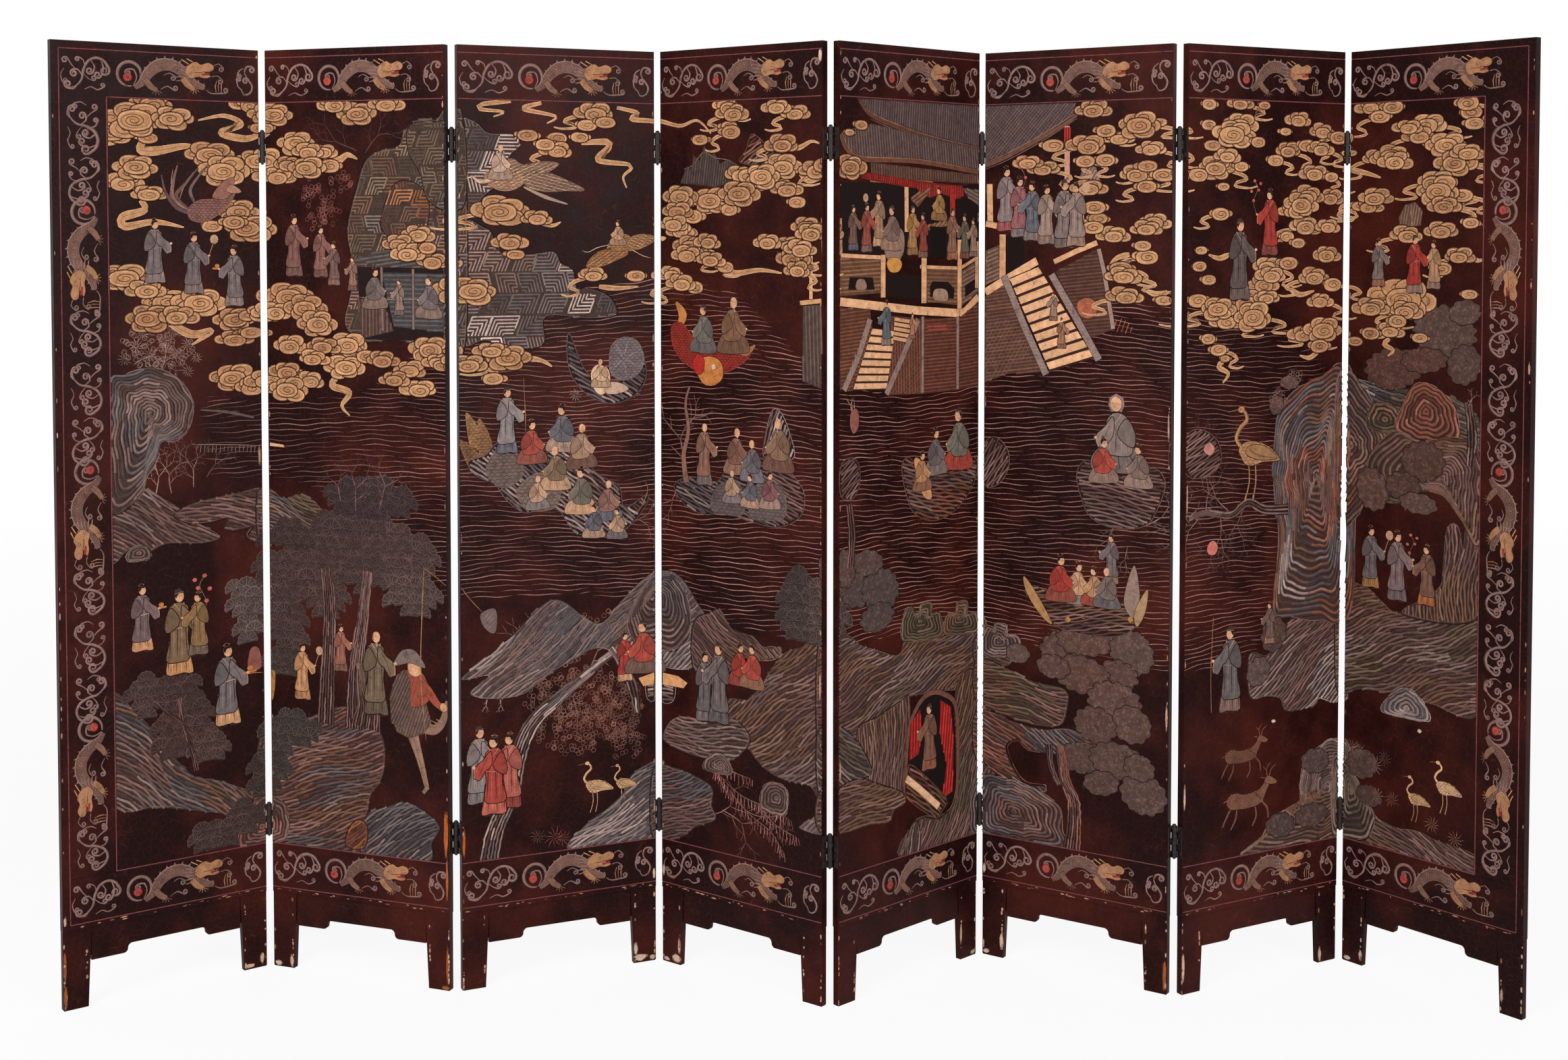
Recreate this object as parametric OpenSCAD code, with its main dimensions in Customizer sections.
// Eight-leaf folding lacquer screen, standing in a zigzag.
// Every leaf is a board of vertical planks held between two posts, with a carved-lacquer
// ground on both faces, an apron between the feet, and a loose-pin hinge pair to the next leaf.
// Millimetres, +Z up. The fronts face -Y and leaf 1 is at -X.

/* [Leaf] */
// Width of one leaf
leaf_w = 460; // [360:1:600]
// Height of one leaf, floor to top edge
leaf_h = 2100; // [1500:1:2700]
// Thickness of one leaf over both lacquer grounds
leaf_t = 18; // [16:0.5:30]
// Thickness of the lacquer and gesso ground on each face
ground_t = 2; // [1:0.1:3]
// Height of the lower edge of the lacquer ground above the floor
ledge_z = 174; // [150:1:220]
// Clearance between the lacquer ground and the wood that it covers
bond_gap = 0.1; // [0.05:0.05:0.3]

/* [Posts and feet] */
// Width of a post
post_w = 62; // [45:1:80]
// How much narrower a foot is at the floor than at the ledge
foot_taper = 8; // [0:0.5:16]
// Bevel at the foot's outer arrises, at the floor
foot_bevel = 2; // [0.5:0.5:4]

/* [Core boards] */
// Number of vertical planks between the posts
plank_count = 5; // [3:1:8]
// Height of the top rail
top_rail_h = 60; // [45:1:90]
// Height of the bottom rail
bottom_rail_h = 76; // [50:1:100]
// Thickness of the tongues on planks and rails
tongue_t = 4.5; // [3:0.1:6]
// Length of the tongues on planks and rails
tongue_l = 7; // [4:0.5:10]
// Length of ungrooved wood left at the ends of each post's groove
groove_stop = 12; // [8:1:20]
// Clearance around each wooden joint
wood_fit = 0.2; // [0.1:0.05:0.4]

/* [Apron] */
// Thickness of the apron
apron_t = 9; // [6:0.5:12]
// How far the apron stands back from the face of the posts
apron_setback = 2; // [1:0.5:4]
// Height of the apron's low ends above the floor
apron_low_z = 100; // [60:1:110]
// Rise of the ogee from the low ends to the middle of the apron
apron_rise = 20; // [10:1:26]
// Length of each low end, from the post to the ogee
apron_end_l = 70; // [40:1:90]
// Height of the bare shoulder above and below each apron tenon
apron_shoulder = 10; // [6:1:18]

/* [Incised borders] */
// Width of an incised border line
line_w = 2.4; // [1:0.1:5]
// Depth of an incised border line
line_d = 0.6; // [0.2:0.1:0.9]
// Distance of the outer border line from the leaf's edge
outer_line = 17; // [10:1:40]
// Distance of the inner border line from the leaf's edge
inner_line = 118; // [70:1:160]
// Height of the bottom band's lower line above the ledge
bottom_line = 12; // [6:1:30]

/* [Hinges] */
// Gap between the end faces of neighbouring leaves when laid out straight
hinge_gap = 15; // [14:0.5:18]
// How far each hinge axis stands proud of the faces that it folds together
axis_proud = 1.5; // [1:0.1:3]
// Height of the lower hinge's foot above the floor
low_hinge_z = 306; // [240:1:500]
// Distance of the upper hinge's head below the top edge
high_hinge_drop = 184; // [120:1:400]
// Length of a hinge
hinge_l = 70; // [50:1:100]
// Number of knuckles in a hinge
knuckle_count = 5; // [3:2:7]
// Outer radius of the knuckles
barrel_r = 6.6; // [5.6:0.1:6.6]
// Radius of the hinge pin
pin_r = 3; // [2:0.1:3.6]
// Clearance between pin and knuckle, all round
pin_fit = 0.05; // [0.02:0.01:0.09]
// Clearance between neighbouring knuckles
knuckle_gap = 0.4; // [0.2:0.1:1]
// Thickness of the hinge plates
plate_t = 2.4; // [1.5:0.1:2.8]
// Clearance between a hinge plate and the post's end face
plate_seat = 0.1; // [0.05:0.05:0.3]
// Radius of the pin's domed head
pin_head_r = 5; // [4.2:0.1:6]
// Length of pin below the lowest knuckle
pin_tail = 4; // [2:0.5:8]

/* [Stance] */
// Turn of each leaf out of the line of the screen, as it stands
stance = [36.5, -20, 24.5, -37.5, 44, -33.5, 29, -51.5];

/* [Hidden] */
COUNT = len(stance);

lacquer = "#2c1214";
lacquered_wood = "#241011";
bare_wood = "#b9763f";
iron = "#34312f";

wood_t = leaf_t - 2 * ground_t;
wood_y = ground_t;
core_w = leaf_w - 2 * post_w;
plank_w = core_w / plank_count;
plank_bottom = ledge_z + bottom_rail_h;
plank_top = leaf_h - top_rail_h;
groove_t = tongue_t + 2 * wood_fit;
groove_l = tongue_l + wood_fit;
tongue_y = wood_y + (wood_t - tongue_t) / 2;
groove_y = wood_y + (wood_t - groove_t) / 2;
apron_y = wood_y + apron_setback;
apron_top = ledge_z - wood_fit;
apron_tenon_y = apron_y + (apron_t - tongue_t) / 2;
ogee_r = apron_rise / 2;
bore_r = pin_r + pin_fit;
end_gap = hinge_gap / 2;
pitch = (hinge_l + knuckle_gap) / knuckle_count;
knuckle_h = pitch - knuckle_gap;
knuckle_room = barrel_r + 0.6;
plate_reach = axis_proud + leaf_t - 1;
head_seat = 0.2;
cut = 1;
hinge_heights = [low_hinge_z, leaf_h - high_hinge_drop - hinge_l];

// ---- where the leaves stand ----
function along(k) = [cos(stance[k]), sin(stance[k])];
function back(k) = [-sin(stance[k]), cos(stance[k])];
// joints 1-2, 3-4 ... fold the fronts together, the others fold the backs together
function folds_front(j) = j % 2 == 0;
function axis_y(j) = folds_front(j) ? -axis_proud : leaf_t + axis_proud;
// front left corner of leaf k and axis of joint j, with leaf 0's corner at zero
function corner(k) = k == 0 ? [0, 0]
    : hinge_axis(k - 1) + along(k) * end_gap - back(k) * axis_y(k - 1);
function hinge_axis(j) = corner(j) + along(j) * (leaf_w + end_gap) + back(j) * axis_y(j);
outline = [for (k = [0:COUNT - 1]) for (x = [0, leaf_w]) for (y = [0, leaf_t])
    corner(k) + along(k) * x + back(k) * y];
middle = [for (i = [0, 1])
    (min([for (p = outline) p[i]]) + max([for (p = outline) p[i]])) / 2];

module at_leaf(k) {
    place = corner(k) - middle;
    translate([place[0], place[1], 0])
        rotate([0, 0, stance[k]])
            children();
}

// ---- wooden parts, in the leaf's own frame: x across, y from front to back ----
module post_outline() {
    polygon([
        [0, foot_bevel],
        [foot_bevel, 0],
        [post_w - foot_taper, 0],
        [post_w, ledge_z],
        [post_w, leaf_h],
        [0, leaf_h]]);
}

module post() {
    difference() {
        translate([0, wood_y + wood_t, 0])
            rotate([90, 0, 0])
                linear_extrude(wood_t)
                    post_outline();
        // stopped groove for the rails and planks
        translate([post_w - groove_l, groove_y, ledge_z + groove_stop])
            cube([groove_l + cut, groove_t, leaf_h - ledge_z - 2 * groove_stop]);
        // mortise for the apron's tenon
        translate([post_w - foot_taper - groove_l, apron_tenon_y - wood_fit, apron_low_z + apron_shoulder])
            cube([foot_taper + groove_l + cut, groove_t, ledge_z - apron_low_z - 2 * apron_shoulder]);
    }
}

// a board with tongues of its own width on the sides that are asked for
module tongue_x(x, z0, z1) {
    translate([x, tongue_y, z0])
        cube([tongue_l, tongue_t, z1 - z0]);
}

module plank(i) {
    x0 = post_w + i * plank_w + wood_fit / 2;
    x1 = post_w + (i + 1) * plank_w - wood_fit / 2;
    z0 = plank_bottom + wood_fit;
    z1 = plank_top - wood_fit;
    difference() {
        union() {
            translate([x0, wood_y, z0])
                cube([x1 - x0, wood_t, z1 - z0]);
            // tongues into the rails
            translate([x0 + groove_l, tongue_y, z0 - tongue_l])
                cube([x1 - x0 - 2 * groove_l, tongue_t, z1 - z0 + 2 * tongue_l]);
            // tongue into the next plank or the right post
            tongue_x(x1 - cut, z0, z1);
            if (i == 0)
                tongue_x(x0 - tongue_l + cut, z0, z1);
        }
        if (i > 0)
            translate([x0 - cut, groove_y, z0 - cut])
                cube([groove_l + cut, groove_t, z1 - z0 + 2 * cut]);
    }
}

module rail(z0, z1, groove_z) {
    x0 = post_w + wood_fit;
    x1 = leaf_w - post_w - wood_fit;
    tenon_z0 = max(z0, ledge_z + groove_stop + wood_fit);
    tenon_z1 = min(z1, leaf_h - groove_stop - wood_fit);
    difference() {
        union() {
            translate([x0, wood_y, z0])
                cube([x1 - x0, wood_t, z1 - z0]);
            tongue_x(x0 - tongue_l, tenon_z0, tenon_z1);
            tongue_x(x1, tenon_z0, tenon_z1);
        }
        translate([x0 - tongue_l - cut, groove_y, groove_z])
            cube([x1 - x0 + 2 * tongue_l + 2 * cut, groove_t, groove_l + cut]);
    }
}

module core_boards() {
    color(bare_wood) {
        for (i = [0:plank_count - 1])
            plank(i);
        rail(ledge_z, plank_bottom, plank_bottom - groove_l);
        rail(plank_top, leaf_h, plank_top - cut);
    }
}

// lower edge: low ends, an ogee up, and a higher middle
module apron_outline() {
    x0 = post_w + wood_fit;
    x1 = leaf_w - post_w - wood_fit;
    mid_z = apron_low_z + apron_rise;
    difference() {
        translate([x0, apron_low_z])
            square([x1 - x0, apron_top - apron_low_z]);
        translate([post_w + apron_end_l + 2 * ogee_r, apron_low_z - cut])
            square([core_w - 2 * apron_end_l - 4 * ogee_r, apron_rise + cut]);
        for (m = [0, 1])
            translate([m * leaf_w, 0])
                mirror([m, 0])
                    translate([post_w + apron_end_l, apron_low_z])
                        ogee_cut();
    }
}

// what the ogee takes away: round the low corner, then hollow up to the middle
module ogee_cut() {
    difference() {
        translate([0, -cut])
            square([2 * ogee_r + cut, cut + ogee_r]);
        translate([0, ogee_r])
            circle(r = ogee_r, $fn = 64);
    }
    intersection() {
        translate([2 * ogee_r, ogee_r])
            circle(r = ogee_r, $fn = 64);
        translate([ogee_r, ogee_r - 0.01])
            square([ogee_r + cut, ogee_r + 0.01]);
    }
}

module apron() {
    color(lacquered_wood) {
        translate([0, apron_y + apron_t, 0])
            rotate([90, 0, 0])
                linear_extrude(apron_t)
                    apron_outline();
        for (m = [0, 1])
            translate([m * leaf_w, 0, 0])
                mirror([m, 0, 0])
                    apron_tenon();
    }
}

module apron_tenon() {
    z0 = apron_low_z + apron_shoulder + wood_fit;
    z1 = ledge_z - apron_shoulder - wood_fit;
    translate([post_w - foot_taper - tongue_l, apron_tenon_y, z0])
        cube([foot_taper + tongue_l + cut, tongue_t, z1 - z0]);
}

// ---- lacquer ground: two skins, the front one with its incised border lines ----
module border_line_x(z) {
    translate([-cut, -cut, z - line_w / 2])
        cube([leaf_w + 2 * cut, cut + line_d, line_w]);
}

module border_line_z(x) {
    z0 = ledge_z + bottom_line;
    translate([x - line_w / 2, -cut, z0])
        cube([line_w, cut + line_d, leaf_h - outer_line - z0]);
}

module lacquer_ground(k) {
    skin_t = ground_t - bond_gap;
    color(lacquer) {
        difference() {
            translate([0, 0, ledge_z])
                cube([leaf_w, skin_t, leaf_h - ledge_z]);
            border_line_x(leaf_h - outer_line);
            border_line_x(leaf_h - inner_line);
            border_line_x(ledge_z + bottom_line);
            border_line_x(ledge_z + bottom_line + inner_line - outer_line);
            if (k == 0) {
                border_line_z(outer_line);
                border_line_z(inner_line);
            }
            if (k == COUNT - 1) {
                border_line_z(leaf_w - outer_line);
                border_line_z(leaf_w - inner_line);
            }
        }
        translate([0, leaf_t - skin_t, ledge_z])
            cube([leaf_w, skin_t, leaf_h - ledge_z]);
    }
}

// ---- hinges: x from the axis to the post's end face, y from the axis across the leaf ----
module hinge_plate(first) {
    plate_x = end_gap - plate_t - plate_seat;
    difference() {
        union() {
            translate([plate_x, knuckle_room, 0])
                cube([plate_t, plate_reach - knuckle_room, hinge_l]);
            for (i = [first:2:knuckle_count - 1])
                translate([0, 0, i * pitch]) {
                    cylinder(r = barrel_r, h = knuckle_h, $fn = 64);
                    translate([plate_x, 0, 0])
                        cube([plate_t, knuckle_room + cut, knuckle_h]);
                }
        }
        translate([0, 0, -cut])
            cylinder(r = bore_r, h = hinge_l + 2 * cut, $fn = 64);
    }
}

// puts a hinge part at joint j: on its left leaf, or on its right one
module at_joint(j, on_left) {
    k = on_left ? j : j + 1;
    x = on_left ? leaf_w + end_gap : -end_gap;
    for (z = hinge_heights)
        at_leaf(k)
            translate([x, axis_y(j), z])
                mirror([on_left ? 1 : 0, 0, 0])
                    mirror([0, folds_front(j) ? 0 : 1, 0])
                        children();
}

module hinge_plates(k) {
    color(iron) {
        if (k < COUNT - 1)
            at_joint(k, true)
                hinge_plate(0);
        if (k > 0)
            at_joint(k - 1, false)
                hinge_plate(1);
    }
}

module hinge_pin() {
    translate([0, 0, -pin_tail + pin_r / 2])
        cylinder(r = pin_r, h = hinge_l + head_seat + cut + pin_tail - pin_r / 2, $fn = 64);
    translate([0, 0, -pin_tail])
        cylinder(r1 = pin_r / 2, r2 = pin_r, h = pin_r / 2, $fn = 64);
    translate([0, 0, hinge_l + head_seat])
        intersection() {
            sphere(r = pin_head_r, $fn = 64);
            translate([-pin_head_r, -pin_head_r, 0])
                cube(2 * pin_head_r);
        }
}

module hinge_pins(j) {
    color(iron)
        at_joint(j, true)
            hinge_pin();
}

for (k = [0:COUNT - 1]) {
    at_leaf(k) core_boards();
    at_leaf(k) color(lacquered_wood) post();
    at_leaf(k) color(lacquered_wood) translate([leaf_w, 0, 0]) mirror([1, 0, 0]) post();
    at_leaf(k) apron();
    at_leaf(k) lacquer_ground(k);
    hinge_plates(k);
    if (k < COUNT - 1)
        hinge_pins(k);
}
